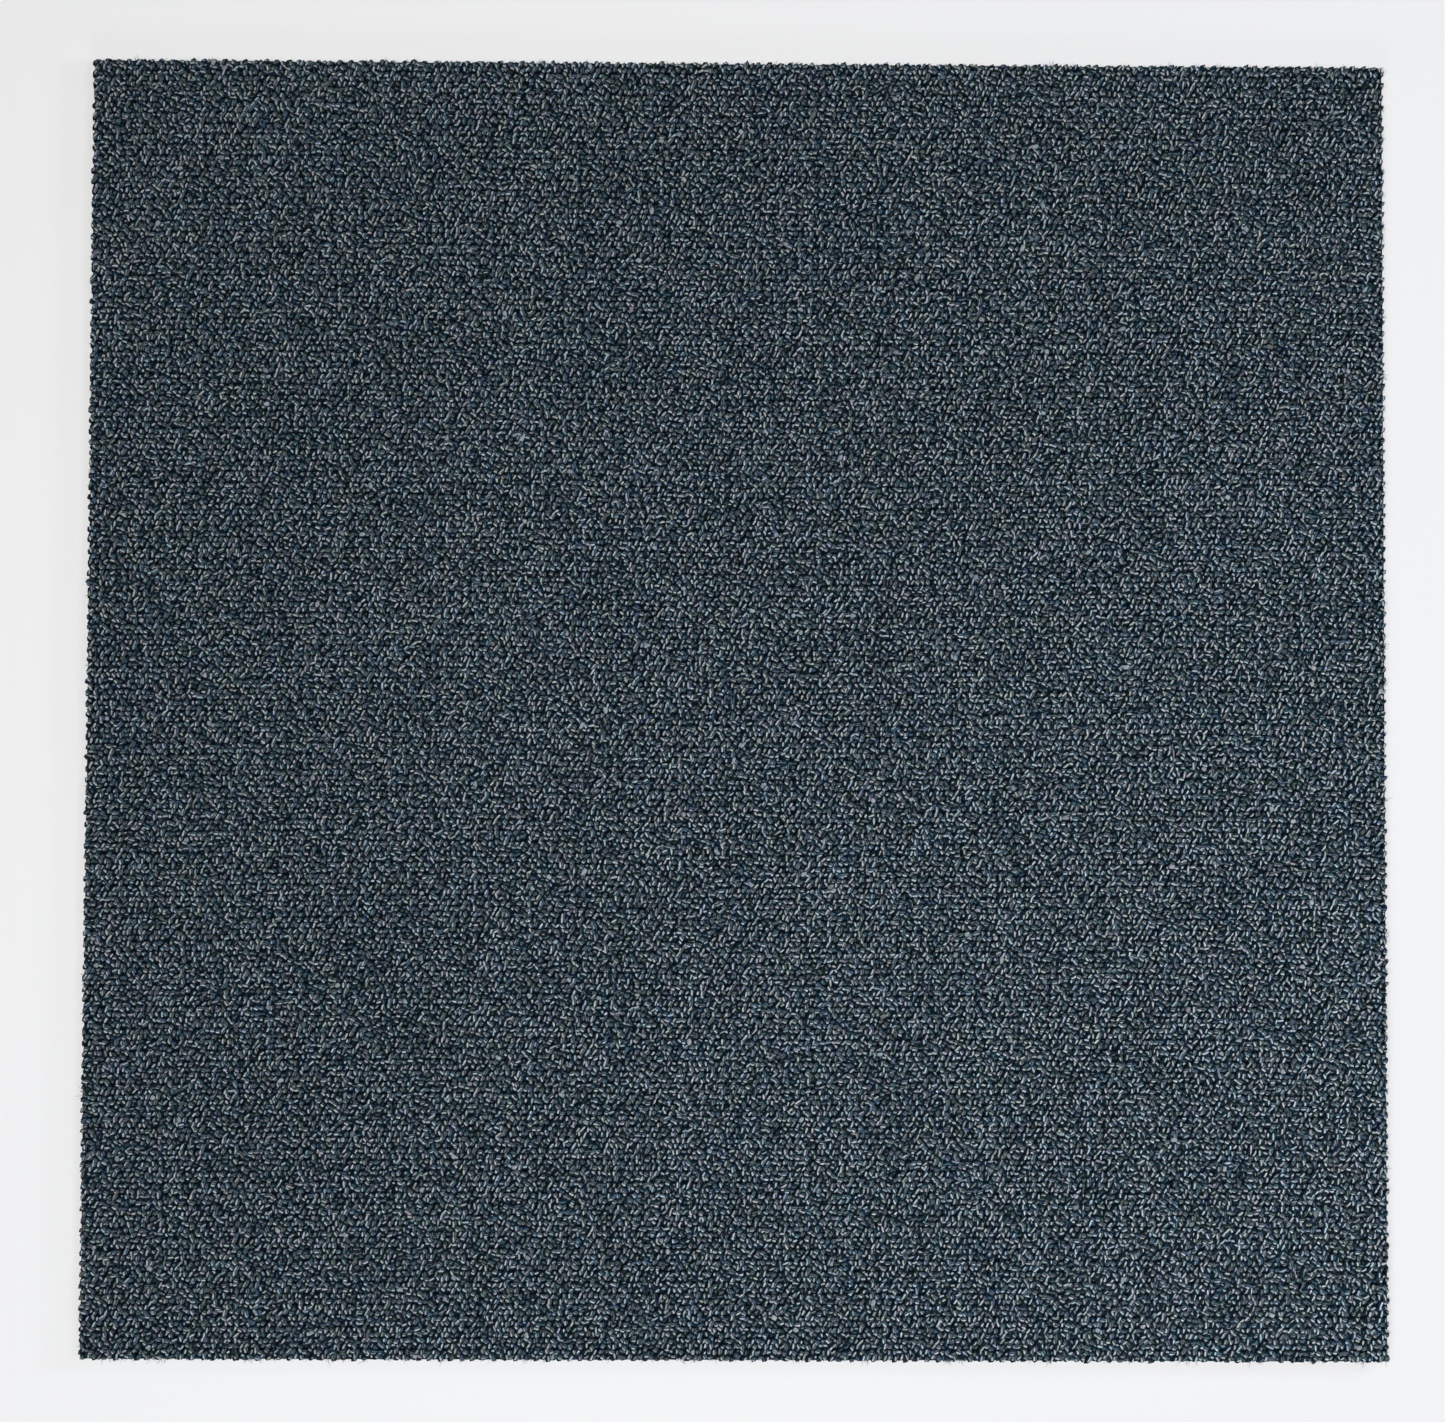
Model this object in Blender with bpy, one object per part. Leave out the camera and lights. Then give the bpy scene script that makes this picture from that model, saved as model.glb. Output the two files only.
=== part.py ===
# Loop pile carpet tile, lying pile up. Metres, +Z up.
#
# The origin is the centre of the underside. +X runs across the tufted rows and +Y along them.
# The tile is one bonded piece: a heavy flat backing, cut square, with the pile stitched through
# its top and locked in. The solid has the tile's real section: a flat slab for the backing and,
# above it, one round-topped ridge for each tufted row, running the whole length of the tile.

import math

import bmesh
import bpy

# Driving dimensions

TILE_WIDTH = 0.500  # across the rows, X
TILE_LENGTH = 0.500  # along the rows, Y
BACKING_THICKNESS = 0.0032  # heavy backing with the cloth that the loops are stitched through
PILE_HEIGHT = 0.0033  # from the top of the backing to the crown of the loops
ROW_GAUGE = 0.002066  # from one tufted row to the next
FURROW_DEPTH = 0.0011  # from the crown of a row to the bottom of the furrow beside it

# How finely the faces are divided

CROWN_SEGMENTS = 4  # in the rounded top of one row
BACKING_SEGMENTS = 24  # along the top of the backing, where it shows at the ends of the rows

# Yarn colour of the pile, averaged over its light and dark plies
PILE_COLOUR = (0.046, 0.062, 0.075, 1.0)
PILE_ROUGHNESS = 0.9


def clear_scene():
    for existing in list(bpy.data.objects):
        bpy.data.objects.remove(existing, do_unlink=True)


def pile_material():
    material = bpy.data.materials.new("loop_pile")
    material.use_nodes = True
    shader = material.node_tree.nodes["Principled BSDF"]
    shader.inputs["Base Color"].default_value = PILE_COLOUR
    shader.inputs["Roughness"].default_value = PILE_ROUGHNESS
    shader.inputs["Metallic"].default_value = 0.0
    return material


def level_points(mesh, y, z, segments):
    """A level line of points across the tile, from its left edge to its right one."""
    return [mesh.verts.new(((share / segments - 0.5) * TILE_WIDTH, y, z)) for share in range(segments + 1)]


def crown_points(mesh, y, furrow, next_furrow):
    """The points of one row's rounded top, between the furrows on its two sides."""
    left, right = furrow.co.x, next_furrow.co.x
    points = []
    for step in range(1, CROWN_SEGMENTS):
        share = step / CROWN_SEGMENTS
        rise = FURROW_DEPTH * math.sin(math.pi * share)
        points.append(mesh.verts.new((left + share * (right - left), y, furrow.co.z + rise)))
    return points


def middle(points, left):
    return (points[left].co.x + points[left + 1].co.x) / 2


def fill_between(mesh, upper, lower):
    """Triangles between two lines of points that run the same way, however each is divided."""
    above = below = 0
    while above < len(upper) - 1 or below < len(lower) - 1:
        lower_done = below == len(lower) - 1
        upper_done = above == len(upper) - 1
        if lower_done or (not upper_done and middle(upper, above) <= middle(lower, below)):
            mesh.faces.new((upper[above], upper[above + 1], lower[below]))
            above += 1
        else:
            mesh.faces.new((upper[above], lower[below + 1], lower[below]))
            below += 1


def build_end(mesh, y):
    """One end of the tile, with its faces: its underside, backing and furrow lines, and its rows."""
    rows = round(TILE_WIDTH / ROW_GAUGE)
    underside = level_points(mesh, y, 0.0, 1)
    backing_top = level_points(mesh, y, BACKING_THICKNESS, BACKING_SEGMENTS)
    furrows = level_points(mesh, y, BACKING_THICKNESS + PILE_HEIGHT - FURROW_DEPTH, rows)
    fill_between(mesh, backing_top, underside)
    fill_between(mesh, furrows, backing_top)
    outline = [furrows[0]]
    for furrow, next_furrow in zip(furrows, furrows[1:]):
        crown = crown_points(mesh, y, furrow, next_furrow)
        mesh.faces.new([furrow, *crown, next_furrow])
        outline += [*crown, next_furrow]
    return underside, backing_top, outline


def build_tile():
    mesh = bmesh.new()
    front = build_end(mesh, -TILE_LENGTH / 2)
    back = build_end(mesh, TILE_LENGTH / 2)
    front_underside, _, front_outline = front
    back_underside, _, back_outline = back
    mesh.faces.new((*front_underside, *reversed(back_underside)))
    for left in range(len(front_outline) - 1):
        mesh.faces.new((*front_outline[left : left + 2], *reversed(back_outline[left : left + 2])))
    # The cut edges beside the first and the last row: the backing's part, then the pile's
    for side in (0, -1):
        for low, high in ((0, 1), (1, 2)):
            mesh.faces.new((front[low][side], front[high][side], back[high][side], back[low][side]))
    bmesh.ops.recalc_face_normals(mesh, faces=mesh.faces)

    data = bpy.data.meshes.new("carpet_tile")
    mesh.to_mesh(data)
    mesh.free()
    data.materials.append(pile_material())
    tile = bpy.data.objects.new("carpet_tile", data)
    bpy.context.scene.collection.objects.link(tile)
    return tile


clear_scene()
build_tile()
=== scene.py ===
import math

import bpy
import numpy as np
from mathutils import Euler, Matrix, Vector


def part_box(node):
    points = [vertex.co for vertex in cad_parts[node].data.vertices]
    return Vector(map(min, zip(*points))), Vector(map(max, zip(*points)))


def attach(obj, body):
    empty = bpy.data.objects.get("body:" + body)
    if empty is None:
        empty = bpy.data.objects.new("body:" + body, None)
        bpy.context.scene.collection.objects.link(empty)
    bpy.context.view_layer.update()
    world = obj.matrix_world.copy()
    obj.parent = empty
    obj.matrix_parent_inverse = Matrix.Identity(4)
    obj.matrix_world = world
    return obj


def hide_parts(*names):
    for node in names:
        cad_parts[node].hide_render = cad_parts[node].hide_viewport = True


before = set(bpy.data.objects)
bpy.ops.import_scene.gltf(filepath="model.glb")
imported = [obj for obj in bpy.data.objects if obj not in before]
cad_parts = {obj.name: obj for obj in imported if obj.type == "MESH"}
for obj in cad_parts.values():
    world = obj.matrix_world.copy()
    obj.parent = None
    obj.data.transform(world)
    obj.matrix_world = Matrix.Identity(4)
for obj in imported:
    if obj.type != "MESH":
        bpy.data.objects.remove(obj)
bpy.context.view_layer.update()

# The tile's own box: everything below is placed from it
tileLow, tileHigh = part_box("carpet_tile")
tileWidth = tileHigh.x - tileLow.x
tileLength = tileHigh.y - tileLow.y
mm = 0.001
print("frame loaded")


def linearColour(hexColour):
    # sRGB hex to the linear values that a shader takes
    channels = [int(hexColour[i : i + 2], 16) / 255 for i in (1, 3, 5)]
    linear = [c / 12.92 if c <= 0.04045 else ((c + 0.055) / 1.055) ** 2.4 for c in channels]
    return (*linear, 1.0)


def addNode(tree, kind, inputs=None, **settings):
    # inputs: socket name or number to a value or to another node's output
    node = tree.nodes.new(kind)
    for name, value in settings.items():
        setattr(node, name, value)
    for socket, value in (inputs or {}).items():
        if isinstance(value, bpy.types.NodeSocket):
            tree.links.new(value, node.inputs[socket])
        else:
            node.inputs[socket].default_value = value
    return node


def startMaterial(name):
    material = bpy.data.materials.new(name)
    material.use_nodes = True
    material.node_tree.nodes.clear()
    return material, material.node_tree


def setStops(ramp, stops):
    # stops: (place, hex colour) pairs, left to right
    elements = ramp.color_ramp.elements
    while len(elements) < len(stops):
        elements.new(1.0)
    for element, (place, colour) in zip(elements, stops):
        element.position = place
        element.color = linearColour(colour)


def meshObject(name, points, faces, material):
    # faces: arrays of corner indices, one array for each face size
    mesh = bpy.data.meshes.new(name)
    corners = np.concatenate([f.ravel() for f in faces]).astype(np.int32)
    sizes = np.concatenate([np.full(len(f), f.shape[1]) for f in faces]).astype(np.int32)
    mesh.vertices.add(len(points))
    mesh.vertices.foreach_set("co", np.asarray(points, np.float32).ravel())
    mesh.loops.add(len(corners))
    mesh.loops.foreach_set("vertex_index", corners)
    mesh.polygons.add(len(sizes))
    mesh.polygons.foreach_set("loop_start", np.concatenate([[0], np.cumsum(sizes)[:-1]]).astype(np.int32))
    mesh.update(calc_edges=True)
    mesh.validate()
    mesh.shade_smooth()
    mesh.materials.append(material)
    piece = bpy.data.objects.new(name, mesh)
    bpy.context.scene.collection.objects.link(piece)
    return piece


def addVectors(mesh, name, values):
    attribute = mesh.attributes.new(name, "FLOAT_VECTOR", "POINT")
    attribute.data.foreach_set("vector", np.asarray(values, np.float32).ravel())


# Camera: looks straight down, as the photograph does

photo = {
    "width": 1445,
    "height": 1422,
    "focalPixels": 3500,
    "tilt": (2.559, -0.634, 0.216),  # degrees
    "place": (-0.0204, -0.0619, 1.3511),
    "sensor": 36,  # mm
}


def addCamera():
    data = bpy.data.cameras.new("overheadCamera")
    data.sensor_fit = "HORIZONTAL"
    data.sensor_width = photo["sensor"]
    data.lens = photo["focalPixels"] / photo["width"] * photo["sensor"]
    data.clip_start = 0.01
    camera = bpy.data.objects.new("overheadCamera", data)
    camera.location = photo["place"]
    camera.rotation_euler = Euler([math.radians(angle) for angle in photo["tilt"]])
    bpy.context.scene.collection.objects.link(camera)
    bpy.context.scene.camera = camera


addCamera()
print("camera placed")


# Floor and light: a pale floor under a big overhead soft box, with four smaller ones at the sides.
# A box with a grid lights the pile only, most at its lower right.

studio = {
    "floorColour": "#e8e8e8",
    "floorSide": 24.0,
    "glowReach": (0.45, 2.6),  # metres from the tile's middle, where the floor's own glow starts and is full
    "glow": 0.68,
    "skyColour": "#fff4e2",
    "skyStrength": 0.03,
    "boxes": {  # place, side and aim in metres, spread in degrees, watts, colour
        "overheadBox": ((-0.1, -0.05, 2.44), 0.44, (0, 0, 0), 180, 43.7, "#fffefc"),
        "leftBox": ((-0.67, -0.37, 2.18), 0.5, (0, 0, 0), 180, 8.6, "#f8faff"),
        "rightBox": ((1.19, -0.02, 2.12), 0.67, (0, 0, 0), 180, 5.9, "#ecf2ff"),
        "cornerBox": ((1.25, 0.32, 0.6), 0.33, (0, 0, 0), 180, 3.7, "#ecf2ff"),
        "frontBox": ((-0.08, -1.07, 0.6), 0.32, (0, 0, 0), 180, 2.1, "#ecf2ff"),
    },
    "gridBox": ((0.4, -0.35, 1.6), 0.5, (0.4, -0.35, 0), 60, 3.15, "#f4f8ff"),
}


def addFloor():
    # Matt white paint: no gloss, no pattern. Far from the tile, where the boxes don't reach, it glows
    # as a lit cove does, and so it stays pale to the horizon.
    material, tree = startMaterial("paintedStudioFloor")
    place = addNode(tree, "ShaderNodeTexCoord").outputs["Object"]
    away = addNode(tree, "ShaderNodeVectorMath", {0: place}, operation="LENGTH")
    start, full = studio["glowReach"]
    glow = addNode(
        tree, "ShaderNodeMapRange", {0: away.outputs["Value"], 1: start, 2: full, 3: 0.0, 4: studio["glow"]}
    )
    shader = addNode(
        tree,
        "ShaderNodeBsdfPrincipled",
        {
            "Base Color": linearColour(studio["floorColour"]),
            "Roughness": 0.9,
            "IOR": 1.45,
            "Emission Color": (1.0, 1.0, 1.0, 1.0),
            "Emission Strength": glow.outputs[0],
        },
    )
    addNode(tree, "ShaderNodeOutputMaterial", {"Surface": shader.outputs["BSDF"]})
    half = studio["floorSide"] / 2
    drop = 0.02 * mm  # keeps it clear of the tile's underside
    points = [(-half, -half, -drop), (half, -half, -drop), (half, half, -drop), (-half, half, -drop)]
    floor = meshObject("studioFloor", points, [np.array([[0, 1, 2, 3]])], material)


def addBox(name, place, side, aim, spread, power, colour):
    data = bpy.data.lights.new(name, "AREA")
    data.shape = "SQUARE"
    data.size = side
    data.spread = math.radians(spread)
    data.energy = power
    data.color = linearColour(colour)[:3]
    box = bpy.data.objects.new(name, data)
    box.location = place
    box.rotation_euler = (Vector(aim) - box.location).to_track_quat("-Z", "Y").to_euler()
    bpy.context.scene.collection.objects.link(box)
    return box


def addLights():
    world = bpy.data.worlds.new("softSky")
    world.use_nodes = True
    background = world.node_tree.nodes["Background"]
    background.inputs["Color"].default_value = linearColour(studio["skyColour"])
    background.inputs["Strength"].default_value = studio["skyStrength"]
    bpy.context.scene.world = world
    for name, settings in studio["boxes"].items():
        addBox(name, *settings)
    bpy.context.scene.view_settings.view_transform = "Standard"


addFloor()
addLights()
print("floor and light set")


# Pile: every loop of twisted yarn, on the machine's grid of rows and stitches

pile = {
    "rows": 242,
    "stitches": 238,
    "seed": 24,
    "rowKinds": ("loopLength", "loopWidth", "zigzag", "pairing", "crownHeight"),  # odd rows, then even ones
    "loopLength": (3.3, 4.5),  # mm, along the loop at its foot
    "loopWidth": (1.9, 2.25),  # mm, across it
    "zigzag": (0.46, 0.41),  # mm: each stitch lands to the left or right of its row in turn
    "pairing": (0.2, -0.12),  # mm: the stitches close up in pairs, one stitch further on in even rows
    "crownHeight": (6.14, 6.27),  # mm above the floor
    "heightSpread": 0.2,  # mm
    "heightLimits": (-0.5, 0.25),  # mm, the most that a crown differs from its row's height
    "highest": 6.5,  # mm above the floor
    "tipDrop": (0.2, 0.5),  # mm, from the crown to the two ends of a loop
    "footHeight": 3.6,  # mm above the floor
    "ringPoints": 6,  # corners of a loop's foot, and of its crown
    "crownShare": (0.76, 0.56),  # the crown's length and width against the foot's
    "sizeSpread": 0.1,  # how much the loops' lengths and widths differ, against their size
    "lean": 0.13,  # mm, how far a crown strays from above its foot
    "heading": 50,  # degrees from +X: the loops lie to the upper right
    "headingSpread": 17,
    "wander": 0.1,  # mm, how far a loop strays from its place
    "drift": (0.45, 0.75),  # mm, how far the rows and the stitches bow over the tile
    "driftWaves": 6,
    "driftTurns": 2,  # the most that one of these waves rises and falls over the tile
    "driftFade": 8,  # the drift's fade at the cut edges: a higher power keeps it nearer to them
    "plyDirections": (75, 147),  # degrees from +X: plies lie along their loop or across it
    "lengthwiseShare": 0.42,  # of the loops show their plies lengthwise
    "plySpread": 26,
    "phaseSpread": 0.13,  # of a full twist: how far the pale ply strays from the top of those loops
    "fleckLength": (1.05, 0.32),  # mm, from a fleck's middle to its end, and its spread
    "shortestFleck": 0.5,  # mm
    "rowTone": 0.03,  # how much the yarn's tone differs from row to row
    "bandTone": 0.02,  # and from one soft band of rows to the next
    "bandRows": 20,
    "slubShare": 0.012,  # of the loops are thick and soft, with one slate to pale ply on top
    "slubSize": 1.25,  # against the other loops
    "slubPlies": 0.42,  # of the other loops' plies show across a slub
    "slubTone": 0.6,  # the palest that a slub gets
    "cutSlack": 0.45,  # mm that a loop may pass the cut edge
    "cutSqueeze": 0.8,  # the share that is taken off what would pass it further
    "strips": 6,
}
yarn = {
    "plies": 3,  # pale, navy and slate, in this order
    "plyWidth": 0.87,  # mm, one ply of the twisted yarn seen from above
    "sway": 0.3,  # mm, how far a ply strays sideways along its length
    "swayScale": 0.9,  # of its noise, for each mm
    "fleckEnd": (0.8, 1.25),  # squared distance from a fleck's middle where it fades; its outline is at 1
    "filamentScale": 5.0,  # about four times coarser than the real 0.05 mm, so that filaments show
    "filamentStretch": (1.0, 0.22, 0.22),
    "streaks": (0.8, 1.15),  # the darkest and the palest filaments against their ply
    "seamShade": (0.03, 0.22),  # of a ply's width, from the middle of the painted seam shade to its end
    "gap": (-2.0, -0.4),  # mm from the crown, where the gap's shade is full and where it ends
    "relief": 0.16,  # mm
}


def tints(*colours):
    # Evenly spaced along a ramp. Here: blue, teal, green, warm grey and violet grey.
    return [(place / (len(colours) - 1), colour) for place, colour in enumerate(colours)]


def yarnMaterial():
    # Twisted, heat-set nylon yarn of one pale, one navy and one slate ply, solution dyed and tufted
    # as loops: short pale flecks with rounded sides between dark ones, dull, with a slight sheen
    material, tree = startMaterial("twistedNylonLoopYarn")
    place = addNode(tree, "ShaderNodeAttribute", attribute_name="yarnPlace")
    look = addNode(tree, "ShaderNodeAttribute", attribute_name="yarnLook")
    placeParts = addNode(tree, "ShaderNodeSeparateXYZ", {0: place.outputs["Vector"]})
    lookParts = addNode(tree, "ShaderNodeSeparateXYZ", {0: look.outputs["Vector"]})
    phase, tone, hue = lookParts.outputs
    across, along, below = placeParts.outputs

    # Which ply shows: the plies lie side by side across the yarn, in turn
    plies, sway = yarn["plies"], yarn["sway"]
    wobble = addNode(
        tree,
        "ShaderNodeTexNoise",
        {"Vector": place.outputs["Vector"], "Scale": yarn["swayScale"], "Detail": 1.0},
    )
    bent = addNode(
        tree, "ShaderNodeMath", {0: wobble.outputs["Fac"], 1: sway, 2: across}, operation="MULTIPLY_ADD"
    )
    middle = addNode(tree, "ShaderNodeMath", {0: bent.outputs[0], 1: sway / 2}, operation="SUBTRACT")
    turn = addNode(
        tree,
        "ShaderNodeMath",
        {0: middle.outputs[0], 1: 1 / (plies * yarn["plyWidth"]), 2: phase},
        operation="MULTIPLY_ADD",
    )
    turned = addNode(tree, "ShaderNodeMath", {0: turn.outputs[0]}, operation="FRACT")
    plyCount = addNode(tree, "ShaderNodeMath", {0: turn.outputs[0], 1: float(plies)}, operation="MULTIPLY")
    insidePly = addNode(tree, "ShaderNodeMath", {0: plyCount.outputs[0], 1: 0.5}, operation="PINGPONG")

    # Tone of the pale ply, loop by loop: from slate grey to pale grey-green
    paleTone = addNode(tree, "ShaderNodeValToRGB", {"Fac": tone})
    setStops(paleTone, [(0.0, "#4f575c"), (0.25, "#788085"), (0.6, "#8f979c"), (1.0, "#a1a9ad")])
    paleTint = addNode(tree, "ShaderNodeValToRGB", {"Fac": hue})
    setStops(paleTint, tints("#eff4ff", "#e9f4f6", "#f2f4eb", "#fdf4f0", "#fbf4fd"))
    palePly = addNode(
        tree,
        "ShaderNodeMix",
        {0: 1.0, 6: paleTone.outputs["Color"], 7: paleTint.outputs["Color"]},
        data_type="RGBA",
        blend_type="MULTIPLY",
    )
    slateTone = addNode(tree, "ShaderNodeValToRGB", {"Fac": hue})
    setStops(slateTone, tints("#3e5163", "#3b515b", "#405153", "#465156", "#46515f"))
    navyTone = addNode(tree, "ShaderNodeValToRGB", {"Fac": hue})
    setStops(navyTone, tints("#132536", "#11252f", "#152527", "#1b252a", "#1b2533"))
    isSlate = addNode(tree, "ShaderNodeMath", {0: turned.outputs[0], 1: 2 / plies}, operation="GREATER_THAN")
    isPale = addNode(tree, "ShaderNodeMath", {0: turned.outputs[0], 1: 1 / plies}, operation="LESS_THAN")

    # A ply goes under the next one after half a turn, so what shows of it is a fleck with round ends
    aside = addNode(
        tree, "ShaderNodeMath", {0: insidePly.outputs[0], 1: -2.0, 2: 1.0}, operation="MULTIPLY_ADD"
    )
    asideSquared = addNode(
        tree, "ShaderNodeMath", {0: aside.outputs[0], 1: aside.outputs[0]}, operation="MULTIPLY"
    )
    reach = addNode(
        tree, "ShaderNodeMath", {0: along, 1: along, 2: asideSquared.outputs[0]}, operation="MULTIPLY_ADD"
    )
    fades, gone = yarn["fleckEnd"]
    fleck = addNode(tree, "ShaderNodeMapRange", {0: reach.outputs[0], 1: fades, 2: gone, 3: 1.0, 4: 0.0})
    paleShare = addNode(
        tree, "ShaderNodeMath", {0: isPale.outputs[0], 1: fleck.outputs[0]}, operation="MULTIPLY"
    )
    darkPlies = addNode(
        tree,
        "ShaderNodeMix",
        {0: isSlate.outputs[0], 6: navyTone.outputs["Color"], 7: slateTone.outputs["Color"]},
        data_type="RGBA",
    )
    colour = addNode(
        tree,
        "ShaderNodeMix",
        {0: paleShare.outputs[0], 6: darkPlies.outputs[2], 7: palePly.outputs[2]},
        data_type="RGBA",
    )

    # Single filaments, long along their ply
    stretched = addNode(
        tree,
        "ShaderNodeVectorMath",
        {0: place.outputs["Vector"], 1: yarn["filamentStretch"]},
        operation="MULTIPLY",
    )
    filaments = addNode(
        tree,
        "ShaderNodeTexNoise",
        {"Vector": stretched.outputs[0], "Scale": yarn["filamentScale"], "Detail": 3.0},
    )
    darkest, palest = yarn["streaks"]
    streak = addNode(
        tree, "ShaderNodeMapRange", {0: filaments.outputs["Fac"], 1: 0.25, 2: 0.75, 3: darkest, 4: palest}
    )
    streaked = addNode(
        tree, "ShaderNodeVectorMath", {0: colour.outputs[2], 3: streak.outputs[0]}, operation="SCALE"
    )

    # Painted shade in the seams between the plies, and painted shade down between the loops
    inner, outer = yarn["seamShade"]
    seamShade = addNode(tree, "ShaderNodeMapRange", {0: insidePly.outputs[0], 1: inner, 2: outer})
    deep, shallow = yarn["gap"]
    depth = addNode(tree, "ShaderNodeMapRange", {0: below, 1: deep, 2: shallow})
    shade = addNode(tree, "ShaderNodeMath", {0: seamShade.outputs[0], 1: depth.outputs[0]}, operation="MULTIPLY")
    # The painted shade: the colour goes toward near black in the seams and deep between the loops
    surfaceColour = addNode(
        tree,
        "ShaderNodeMix",
        {0: shade.outputs[0], 6: linearColour("#050e13"), 7: streaked.outputs[0]},
        data_type="RGBA",
    )

    # Round plies and filaments as relief
    roundPly = addNode(
        tree,
        "ShaderNodeMapRange",
        {0: insidePly.outputs[0], 1: 0.0, 2: 0.5},
        interpolation_type="SMOOTHSTEP",
    )
    relief = addNode(
        tree,
        "ShaderNodeMath",
        {0: filaments.outputs["Fac"], 1: 0.25, 2: roundPly.outputs[0]},
        operation="MULTIPLY_ADD",
    )
    bump = addNode(
        tree,
        "ShaderNodeBump",
        {"Height": relief.outputs[0], "Strength": 0.7, "Distance": yarn["relief"] * mm},
    )
    dullness = addNode(
        tree, "ShaderNodeMapRange", {0: filaments.outputs["Fac"], 1: 0.3, 2: 0.7, 3: 0.66, 4: 0.88}
    )
    shader = addNode(
        tree,
        "ShaderNodeBsdfPrincipled",
        {
            "Base Color": surfaceColour.outputs[2],
            "Roughness": dullness.outputs[0],
            "IOR": 1.53,
            "Specular IOR Level": 0.02,
            "Normal": bump.outputs["Normal"],
        },
    )
    addNode(tree, "ShaderNodeOutputMaterial", {"Surface": shader.outputs["BSDF"]})
    return material


def softWaves(x, y, rng):
    # A few long waves over the whole tile, mostly between -1 and 1
    count, most = pile["driftWaves"], pile["driftTurns"]
    total = 0
    for _ in range(count):
        turnsX, turnsY = rng.uniform(-most, most), rng.uniform(-most, most)
        start = rng.uniform(0, 2 * math.pi)
        total = total + np.cos(2 * math.pi * (turnsX * x + turnsY * y) / tileWidth + start)
    return total * math.sqrt(2 / count)


def fadeAtCut(along, side):
    # 1 over most of the tile, 0 at its cut edges, so that the outer loops stay beside them
    return (1 - (2 * along / side) ** pile["driftFade"]).clip(0, 1)


def rowTones(rng):
    # Each row's yarn is a little paler or darker than the next one's, and so are soft bands of rows
    soft = np.hanning(pile["bandRows"])
    bands = np.convolve(rng.normal(0, 1, pile["rows"] + len(soft) - 1), soft / np.linalg.norm(soft), "valid")
    return rng.normal(0, pile["rowTone"], pile["rows"]) + pile["bandTone"] * bands


def placeLoops():
    # One entry for each loop, row by row. All lengths in metres.
    rng = np.random.default_rng(pile["seed"])
    rows, stitches = pile["rows"], pile["stitches"]
    count = rows * stitches
    row, stitch = np.divmod(np.arange(count), stitches)
    side = np.where(stitch % 2 == 0, -1, 1)
    byRow = {name: np.where(row % 2 == 1, *pile[name]) for name in pile["rowKinds"]}
    x = tileLow.x + (row + 0.5) * tileWidth / rows + side * byRow["zigzag"] * mm
    y = tileHigh.y - (stitch + 0.5) * tileLength / stitches + side * byRow["pairing"] * mm
    driftX = softWaves(x, y, rng) * fadeAtCut(x, tileWidth)
    driftY = softWaves(x, y, rng) * fadeAtCut(y, tileLength)
    x += driftX * pile["drift"][0] * mm + rng.normal(0, pile["wander"] * mm, count)
    y += driftY * pile["drift"][1] * mm + rng.normal(0, pile["wander"] * mm, count)
    lengthwise = rng.random(count) < pile["lengthwiseShare"]
    plyMean = np.where(lengthwise, *pile["plyDirections"])
    slub = rng.random(count) < pile["slubShare"]
    size = np.where(slub, pile["slubSize"], 1.0)
    crown = byRow["crownHeight"] + rng.normal(0, pile["heightSpread"], count).clip(*pile["heightLimits"])
    rowTone = rowTones(rng)[row]
    onTop = 1 / (2 * yarn["plies"])  # where the twist has the pale ply on top
    spread = pile["sizeSpread"]
    return {
        "row": row,
        "x": x,
        "y": y,
        "crown": crown.clip(None, pile["highest"]) * mm,
        "heading": np.radians(pile["heading"] + rng.normal(0, pile["headingSpread"], count)),
        "ply": np.radians(plyMean + rng.normal(0, pile["plySpread"], count)),
        "length": byRow["loopLength"] / 2 * mm * rng.normal(1, spread, count),
        "width": byRow["loopWidth"] / 2 * mm * rng.normal(1, spread, count) * size,
        "leanX": rng.normal(0, pile["lean"] * mm, count),
        "leanY": rng.normal(0, pile["lean"] * mm, count),
        "phase": np.where(
            lengthwise | slub, onTop + rng.normal(0, pile["phaseSpread"], count), rng.random(count)
        ),
        "tone": np.where(
            slub, pile["slubTone"] * rng.random(count), rng.random(count) + rowTone
        ).clip(0, 1),
        "hue": rng.random(count),
        "plyShare": np.where(slub, pile["slubPlies"], 1.0),
        "fleckLength": rng.normal(*pile["fleckLength"], count).clip(pile["shortestFleck"], None) * size,
        "slack": np.abs(rng.normal(0, pile["cutSlack"] * mm, count)),
    }


def trimToCut(points, slack):
    # The pile is cut with the backing, so the outer loops end at the tile's straight edges
    for axis in (0, 1):
        along = points[..., axis]
        past = (along - tileHigh[axis] - slack).clip(0, None)
        before = (tileLow[axis] - slack - along).clip(0, None)
        along += (before - past) * pile["cutSqueeze"]


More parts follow.
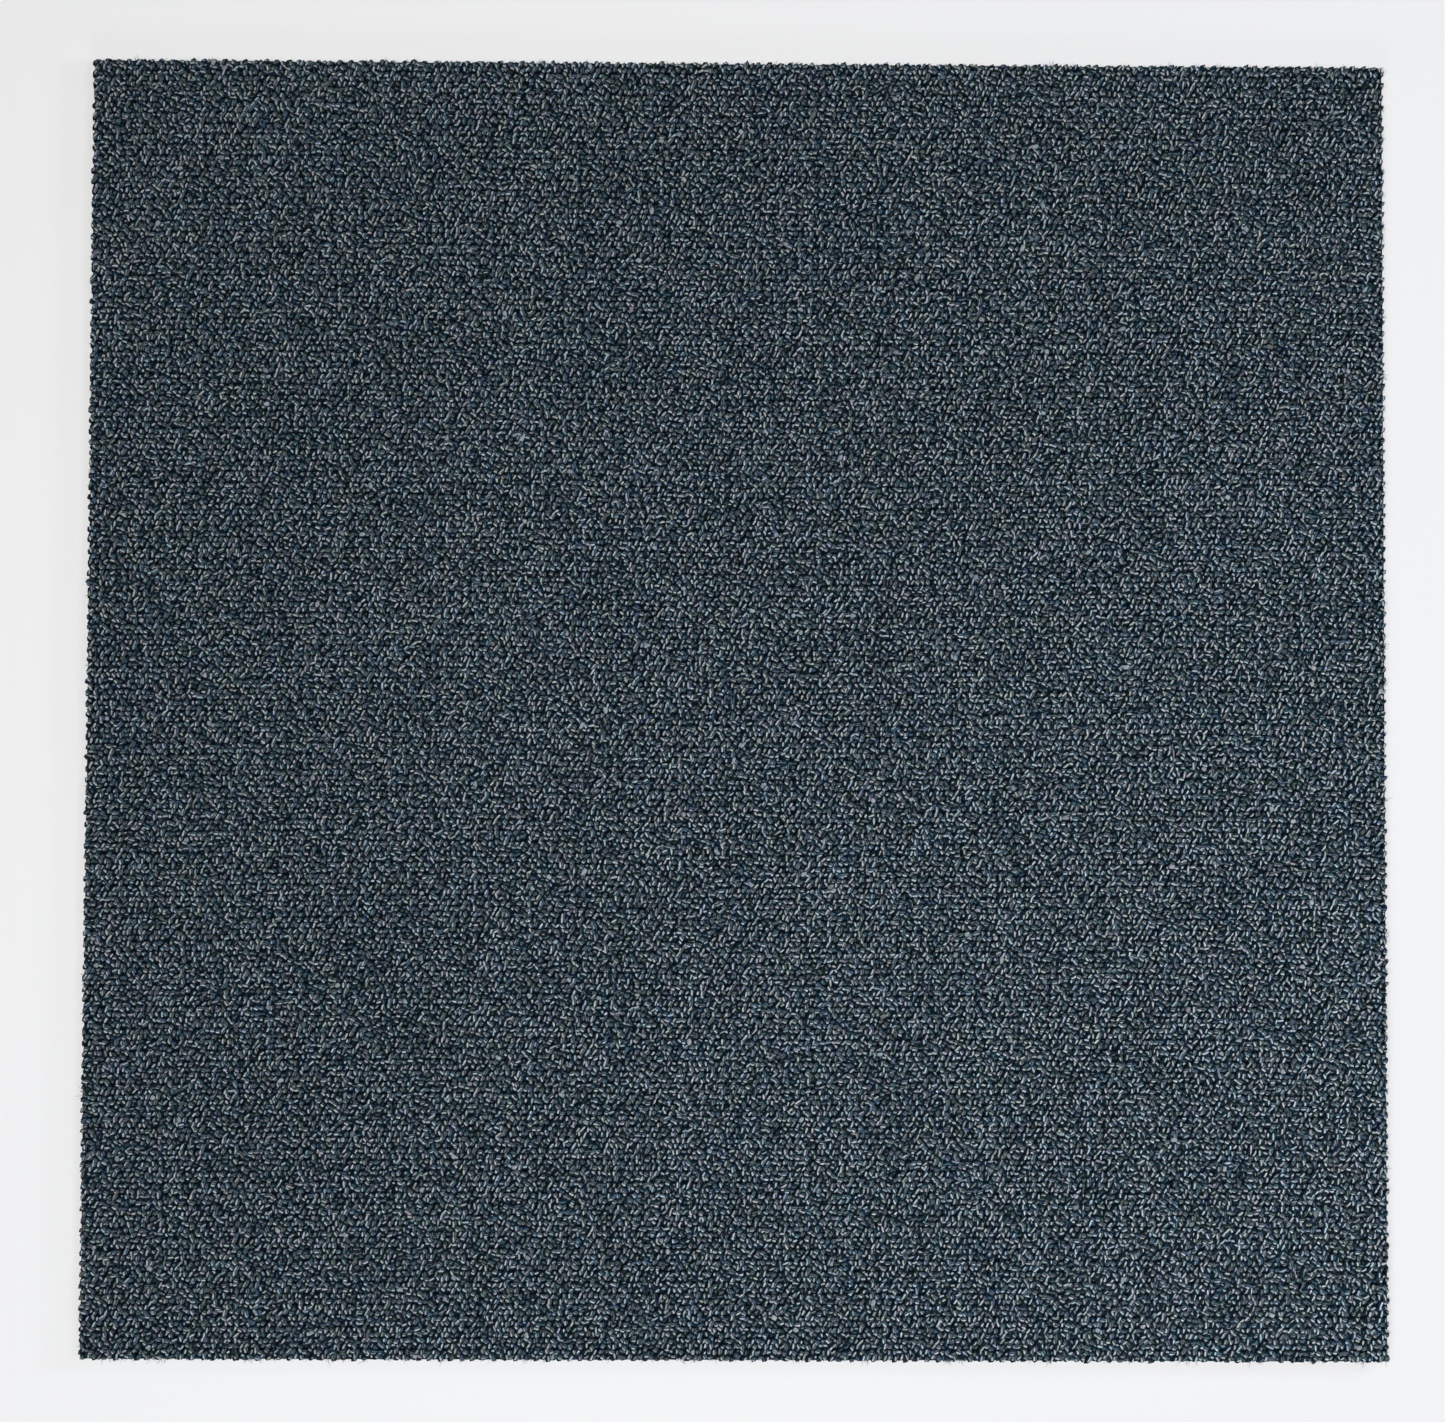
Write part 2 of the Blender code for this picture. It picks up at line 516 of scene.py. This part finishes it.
def loopPoints(loops):
    # A loop is an oval foot and a smaller crown, six points each; the crown's two ends sit lower
    ring = pile["ringPoints"]
    corners = np.radians(np.arange(ring) * 360 / ring)
    tip = np.arange(ring) % (ring // 2) == 0
    endDrop = np.zeros(ring)
    endDrop[tip] = np.array(pile["tipDrop"]) * mm
    ringX = np.cos(corners) * loops["length"][:, None]
    ringY = np.sin(corners) / math.sin(math.radians(360 / ring)) * loops["width"][:, None]
    turnX, turnY = np.cos(loops["heading"])[:, None], np.sin(loops["heading"])[:, None]
    footX, footY = ringX * turnX - ringY * turnY, ringX * turnY + ringY * turnX
    share = np.where(tip, *pile["crownShare"])
    crownX, crownY = footX * share + loops["leanX"][:, None], footY * share + loops["leanY"][:, None]
    localX, localY = np.hstack([footX, crownX]), np.hstack([footY, crownY])
    crownZ = loops["crown"][:, None] - endDrop
    z = np.hstack([np.full_like(crownZ, pile["footHeight"] * mm), crownZ])
    points = np.stack([loops["x"][:, None] + localX, loops["y"][:, None] + localY, z], 2)
    trimToCut(points, loops["slack"][:, None])
    # The same points seen by the yarn: mm across its plies, fleck lengths along them, mm below the crown
    plyX, plyY = np.cos(loops["ply"])[:, None], np.sin(loops["ply"])[:, None]
    middleX, middleY = localX - loops["leanX"][:, None], localY - loops["leanY"][:, None]
    across = (middleY * plyX - middleX * plyY) / mm * loops["plyShare"][:, None]
    along = (middleX * plyX + middleY * plyY) / mm / loops["fleckLength"][:, None]
    below = (z - loops["crown"][:, None]) / mm
    return points, np.stack([across, along, below], 2)


def loopFaces(count):
    # A wall from the foot up to the crown, and on the crown a roof with a sloping end at each tip
    ring = pile["ringPoints"]
    start = np.arange(count)[:, None, None] * 2 * ring
    k = np.arange(ring)
    after = (k + 1) % ring
    wall = np.stack([k, after, after + ring, k + ring], 1)
    ends = np.array([[0, 1, 5], [2, 3, 4]]) + ring
    roof = np.array([[1, 2, 4, 5]]) + ring
    return [(start + part).reshape(-1, part.shape[1]) for part in (wall, roof, ends)]


def addMapFromAbove(piece, loops, points, low, width):
    # UV map seen from above. The long strip is folded in three lengths that lie side by side.
    lengths = 3
    reach = tileLength / lengths
    length = ((loops["y"] - tileLow.y) / reach).astype(int).clip(0, lengths - 1)[:, None]
    margin = 0.025  # keeps the lengths' maps clear of each other
    u = (points[..., 0] - low) / width
    v = (points[..., 1] - tileLow.y) / reach - length
    u, v = ((margin + (1 - 2 * margin) * part).clip(0, 1) for part in (u, v))
    flat = np.stack([(u + length) / lengths, v], 2).reshape(-1, 2)
    mesh = piece.data
    corners = np.empty(len(mesh.loops), np.int32)
    mesh.loops.foreach_get("vertex_index", corners)
    mesh.uv_layers.new(name="OFBake").data.foreach_set("uv", flat[corners].astype(np.float32).ravel())


# Fuzz: cut yarn ends and loose filaments that stand out of the four cut edges

fuzz = {
    "seed": 11,
    "tufts": {"bottom": 95, "right": 45, "top": 40, "left": 35},
    "locks": 1.7,  # more in each tuft, on average, than the one it starts with
    "tuftWidth": 0.5,  # mm
    "length": 1.15,  # mm, of a middling lock
    "lengthSpread": 0.42,
    "longest": 3.4,  # mm
    "thickness": 0.2,  # mm at the root: a lock is a few dozen filaments
    "rootHeight": (3.9, 5.9),  # mm above the floor
    "rootInset": 0.5,  # mm
    "fan": 34,  # degrees to either side
    "rise": (0.1, 0.25),  # of its length that a lock climbs to its end, and the spread
    "droop": 0.35,  # of its length that it then sags
    "curl": 0.35,  # of its length that it bends sideways
    "taper": 0.75,  # of its thickness is gone at the tip
    "rings": 3,
    "plyShares": (0.6, 0.15, 0.25),  # of the locks are pale, navy and slate
    "tone": (0.2, 0.9),
}
sides = {"bottom": 270, "right": 0, "top": 90, "left": 180}  # degrees from +X that each edge faces


def placeLocks(rng):
    # Root, direction and length of each lock, one edge after the other
    roots, headings = [], []
    for side, facing in sides.items():
        angle = math.radians(facing)
        out = np.array([math.cos(angle), math.sin(angle)])
        along = np.array([-math.sin(angle), math.cos(angle)])
        tufts = fuzz["tufts"][side]
        tuft = rng.uniform(-0.5, 0.5, tufts) * tileWidth
        spots = np.repeat(tuft, 1 + rng.poisson(fuzz["locks"], tufts))
        spots = spots + rng.normal(0, fuzz["tuftWidth"] * mm, len(spots))
        spots = spots.clip(-tileWidth / 2, tileWidth / 2)
        edge = tileWidth / 2 - fuzz["rootInset"] * mm
        roots.append(out * edge + along * spots[:, None])
        headings.append(angle + np.radians(rng.normal(0, fuzz["fan"], len(spots))))
    roots, heading = np.concatenate(roots), np.concatenate(headings)
    height = rng.uniform(*fuzz["rootHeight"], len(roots)) * mm
    length = fuzz["length"] * np.exp(rng.normal(0, fuzz["lengthSpread"], len(roots)))
    length = (length.clip(None, fuzz["longest"]) + fuzz["rootInset"]) * mm
    return np.hstack([roots, height[:, None]]), heading, length


def buildFuzz(material):
    rng = np.random.default_rng(fuzz["seed"])
    roots, heading, length = placeLocks(rng)
    count, rings = len(roots), fuzz["rings"]
    rise = rng.normal(*fuzz["rise"], count)
    curl = rng.normal(0, fuzz["curl"], count)
    out = np.stack([np.cos(heading), np.sin(heading), np.zeros(count)], 1)
    across = np.stack([-out[:, 1], out[:, 0], np.zeros(count)], 1)
    up = np.array([0, 0, 1])
    corners = np.radians([90, 210, 330])
    points = []
    for step in range(rings + 1):
        t = step / rings
        lift = (rise * t - fuzz["droop"] * t * t)[:, None]
        middle = roots + length[:, None] * (out * t + across * (curl * t * t)[:, None] + up * lift)
        if step == rings:
            points.append(middle[:, None])
            continue
        radius = fuzz["thickness"] / 2 * mm * (1 - fuzz["taper"] * t)
        ring = across[:, None] * np.cos(corners)[:, None] + up * np.sin(corners)[:, None]
        points.append(middle[:, None] + radius * ring)
    points = np.concatenate(points, 1)
    size = points.shape[1]
    start = np.arange(count)[:, None, None] * size
    k = np.arange(3)
    after = (k + 1) % 3
    walls = np.concatenate([np.stack([k, after, after + 3, k + 3], 1) + 3 * i for i in range(rings - 1)])
    tip = np.stack([k + 3 * (rings - 1), after + 3 * (rings - 1), np.full(3, size - 1)], 1)
    root = np.array([[2, 1, 0]])
    faces = [(start + part).reshape(-1, part.shape[1]) for part in (walls, tip, root)]
    piece = meshObject("edgeFuzz", points.reshape(-1, 3), faces, material)
    plies = (rng.choice(yarn["plies"], count, p=fuzz["plyShares"]) + 0.5) / yarn["plies"]
    looks = np.stack([plies, rng.uniform(*fuzz["tone"], count), rng.random(count)], 1)
    addVectors(piece.data, "yarnPlace", np.zeros((count * size, 3)))
    addVectors(piece.data, "yarnLook", looks.repeat(size, 0))
    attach(piece, "root")
    return piece


def buildPile(material):
    loops = placeLoops()
    strip = loops["row"] * pile["strips"] // pile["rows"]
    stripWidth = tileWidth / pile["strips"]
    lit = bpy.data.collections.new("pileOnly")
    for number in range(pile["strips"]):
        part = {name: values[strip == number] for name, values in loops.items()}
        points, places = loopPoints(part)
        looks = np.stack([part["phase"], part["tone"], part["hue"]], 1).repeat(points.shape[1], 0)
        piece = meshObject(f"loopPile{number + 1}", points.reshape(-1, 3), loopFaces(len(points)), material)
        addVectors(piece.data, "yarnPlace", places)
        addVectors(piece.data, "yarnLook", looks)
        addMapFromAbove(piece, part, points, tileLow.x + number * stripWidth, stripWidth)
        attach(piece, "root")
        lit.objects.link(piece)
    lit.objects.link(buildFuzz(material))
    addBox("gridBox", *studio["gridBox"]).light_linking.receiver_collection = lit


buildPile(yarnMaterial())
print("pile tufted")


# Backing: the heavy slab under the pile, cut square with its stack, and the cloth on top of it

backing = {
    "thickness": 3.0,  # mm
    "edgeStep": 2.5,  # mm between the points of a cut edge
    "cutWander": 0.06,  # mm, how far the knife's cut strays
    "waist": 0.02,  # mm, how much the cut draws in at half its height
    "lowerEdge": 0.3,  # mm, the worn corner at the underside
    "sharpFrom": 35,  # degrees between faces
    "embossPitch": 3.0,  # mm, from one raised square to the next
    "embossDepth": 0.25,  # mm
    "embossTop": 0.1,  # mm above the floor: only faces below this are embossed
    "grainScale": 900.0,  # filler grain of about a millimetre
    "patchScale": 9.0,  # and pale patches of about a decimetre
    "layerWander": 0.15,  # mm, how uneven the layers in the cut are
    "seed": 5,
}
cloth = {"top": 3.45, "inset": 0.15, "tapeWidth": 0.9, "relief": 0.1}  # mm


def crossedWaves(tree, place, pitch):
    # Rises and falls along X and Y in turn, like a chequered grid. From -1 to 1.
    scaled = addNode(
        tree,
        "ShaderNodeVectorMath",
        {0: place, 1: (2 * math.pi / (pitch * mm),) * 3},
        operation="MULTIPLY",
    )
    wave = addNode(tree, "ShaderNodeVectorMath", {0: scaled.outputs[0]}, operation="SINE")
    parts = addNode(tree, "ShaderNodeSeparateXYZ", {0: wave.outputs[0]})
    product = addNode(
        tree, "ShaderNodeMath", {0: parts.outputs["X"], 1: parts.outputs["Y"]}, operation="MULTIPLY"
    )
    return product.outputs[0]


def backingMaterial():
    # Filled bitumen sheet on a glass fleece, embossed by a warm roller and cut with a die: near black and
    # matt, with small raised squares below and, on the cut edge, a thin grey line of fleece and of precoat
    material, tree = startMaterial("embossedFilledBitumen")
    place = addNode(tree, "ShaderNodeTexCoord").outputs["Object"]
    height = addNode(tree, "ShaderNodeSeparateXYZ", {0: place}).outputs["Z"]
    filler = addNode(
        tree, "ShaderNodeTexNoise", {"Vector": place, "Scale": backing["grainScale"], "Detail": 4.0}
    )
    patches = addNode(
        tree, "ShaderNodeTexNoise", {"Vector": place, "Scale": backing["patchScale"], "Detail": 3.0}
    )
    mixed = addNode(
        tree,
        "ShaderNodeMath",
        {0: patches.outputs["Fac"], 1: 0.5, 2: filler.outputs["Fac"]},
        operation="MULTIPLY_ADD",
    )
    tint = addNode(tree, "ShaderNodeValToRGB", {"Fac": mixed.outputs[0]})
    setStops(tint, [(0.45, "#1b1b1d"), (0.75, "#2a2a2c"), (0.95, "#3a3a3b")])

    # The layers that the cut shows, by their height in the slab
    uneven = addNode(
        tree,
        "ShaderNodeMath",
        {0: filler.outputs["Fac"], 1: backing["layerWander"] * mm, 2: height},
        operation="MULTIPLY_ADD",
    )
    level = addNode(tree, "ShaderNodeMapRange", {0: uneven.outputs[0], 1: 0.0, 2: backing["thickness"] * mm})
    layers = addNode(tree, "ShaderNodeValToRGB", {"Fac": level.outputs[0]})
    fleece = [(0.48, "#000000"), (0.51, "#1d1e20"), (0.54, "#000000")]
    precoat = [(0.9, "#000000"), (0.95, "#1c1f22"), (1.0, "#1c1f22")]
    setStops(layers, [(0.0, "#000000"), *fleece, *precoat])
    layered = addNode(
        tree,
        "ShaderNodeMix",
        {0: 1.0, 6: tint.outputs["Color"], 7: layers.outputs["Color"]},
        data_type="RGBA",
        blend_type="ADD",
    )

    # Raised squares, on the underside alone
    squares = addNode(
        tree,
        "ShaderNodeMapRange",
        {0: crossedWaves(tree, place, 2 * backing["embossPitch"]), 1: -0.2, 2: 0.25},
        interpolation_type="SMOOTHSTEP",
    )
    isUnder = addNode(
        tree, "ShaderNodeMath", {0: height, 1: backing["embossTop"] * mm}, operation="LESS_THAN"
    )
    raised = addNode(
        tree, "ShaderNodeMath", {0: squares.outputs[0], 1: isUnder.outputs[0]}, operation="MULTIPLY"
    )
    relief = addNode(
        tree,
        "ShaderNodeMath",
        {0: filler.outputs["Fac"], 1: 0.3, 2: raised.outputs[0]},
        operation="MULTIPLY_ADD",
    )
    bump = addNode(
        tree,
        "ShaderNodeBump",
        {"Height": relief.outputs[0], "Strength": 0.8, "Distance": backing["embossDepth"] * mm},
    )
    # The raised squares are rubbed a little smoother
    polish = addNode(tree, "ShaderNodeMapRange", {0: raised.outputs[0], 3: 0.85, 4: 0.66})
    shader = addNode(
        tree,
        "ShaderNodeBsdfPrincipled",
        {
            "Base Color": layered.outputs[2],
            "Roughness": polish.outputs[0],
            "IOR": 1.6,
            "Normal": bump.outputs["Normal"],
        },
    )
    addNode(tree, "ShaderNodeOutputMaterial", {"Surface": shader.outputs["BSDF"]})
    return material


def clothMaterial():
    # Plain woven polypropylene tape under the loops, dyed near black: it shows as dark gaps between them
    material, tree = startMaterial("wovenPolypropyleneTape")
    place = addNode(tree, "ShaderNodeTexCoord").outputs["Object"]
    over = crossedWaves(tree, place, 2 * cloth["tapeWidth"])
    tapes = addNode(tree, "ShaderNodeMapRange", {0: over, 1: -0.3, 2: 0.3})
    surfaceColour = addNode(tree, "ShaderNodeValToRGB", {"Fac": tapes.outputs[0]})
    setStops(surfaceColour, [(0.0, "#070e16"), (1.0, "#0a131d")])
    bump = addNode(
        tree,
        "ShaderNodeBump",
        {"Height": tapes.outputs[0], "Strength": 0.6, "Distance": cloth["relief"] * mm},
    )
    shader = addNode(
        tree,
        "ShaderNodeBsdfPrincipled",
        {
            "Base Color": surfaceColour.outputs["Color"],
            "Roughness": 0.8,
            "IOR": 1.49,
            "Specular IOR Level": 0.02,
            "Normal": bump.outputs["Normal"],
        },
    )
    addNode(tree, "ShaderNodeOutputMaterial", {"Surface": shader.outputs["BSDF"]})
    return material


def cutOutline(rng):
    # Points round the square, counterclockwise, each off the line by a little
    half = tileWidth / 2
    count = int(tileWidth / (backing["edgeStep"] * mm))
    run = np.linspace(-half, half, count, endpoint=False)
    edge = np.full(count, half)
    x = np.concatenate([run, edge, -run, -edge])
    y = np.concatenate([-edge, run, edge, -run])
    return np.stack([x, y], 1) + rng.normal(0, backing["cutWander"] * mm, (4 * count, 2))


def slab(name, levels, material, seed):
    # levels: (height, inset) pairs from the underside up, closed by flat faces at both ends
    outline = cutOutline(np.random.default_rng(seed))
    count = len(outline)
    rings = []
    for z, inset in levels:
        smaller = outline * (1 - inset / (tileWidth / 2))
        rings.append(np.hstack([smaller, np.full((count, 1), z)]))
    k = np.arange(count)
    after = (k + 1) % count
    walls = [
        np.stack([k + i * count, after + i * count, after + (i + 1) * count, k + (i + 1) * count], 1)
        for i in range(len(levels) - 1)
    ]
    faces = [k[::-1][None], (k + (len(levels) - 1) * count)[None], np.concatenate(walls)]
    piece = meshObject(name, np.concatenate(rings), faces, material)
    piece.data.set_sharp_from_angle(angle=math.radians(backing["sharpFrom"]))
    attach(piece, "root")
    return piece


def buildBacking():
    worn = backing["lowerEdge"] * mm
    top = backing["thickness"] * mm
    levels = [(0.0, worn), (worn, 0.0), (top / 2, backing["waist"] * mm), (top, 0.0)]
    sheet = slab("heavyBacking", levels, backingMaterial(), backing["seed"])
    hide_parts("carpet_tile")
    inset = cloth["inset"] * mm
    slab("primaryCloth", [(top, inset), (cloth["top"] * mm, inset)], clothMaterial(), backing["seed"] + 1)


buildBacking()
print("backing made")
